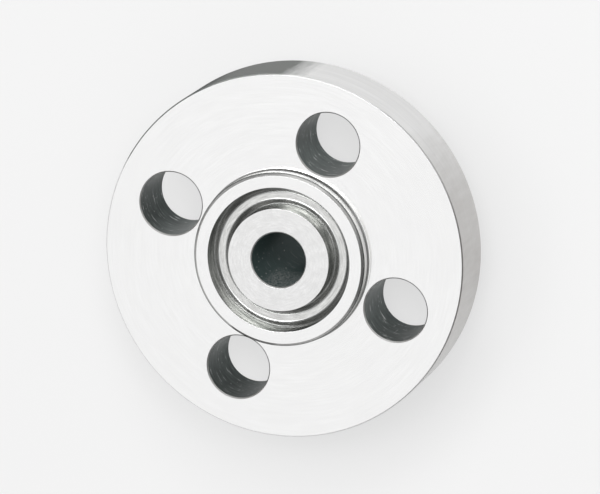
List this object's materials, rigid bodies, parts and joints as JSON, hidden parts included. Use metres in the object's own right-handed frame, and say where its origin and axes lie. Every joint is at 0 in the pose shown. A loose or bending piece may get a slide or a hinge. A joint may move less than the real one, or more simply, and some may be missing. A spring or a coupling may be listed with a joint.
{
  "type": "weld neck ring joint flange",
  "caption": "Turned steel pipe flange with a tapered neck for butt welding, a raised joint face with a ring groove, a through bore and bolt holes.",
  "frame": {"origin": "centre of the weld end, on its root face", "axes": "+Z along the pipe bore, from the weld end towards the joint face; the bolt holes lie half a step round from +X"},
  "size_m": [0.15, 0.15, 0.0794],
  "materials": {
    "machined_steel": "fine turned faces, drilled holes a little darker"
  },
  "bodies": {
    "root": {"ring_joint_flange": "machined_steel"}
  },
  "joints": []
}
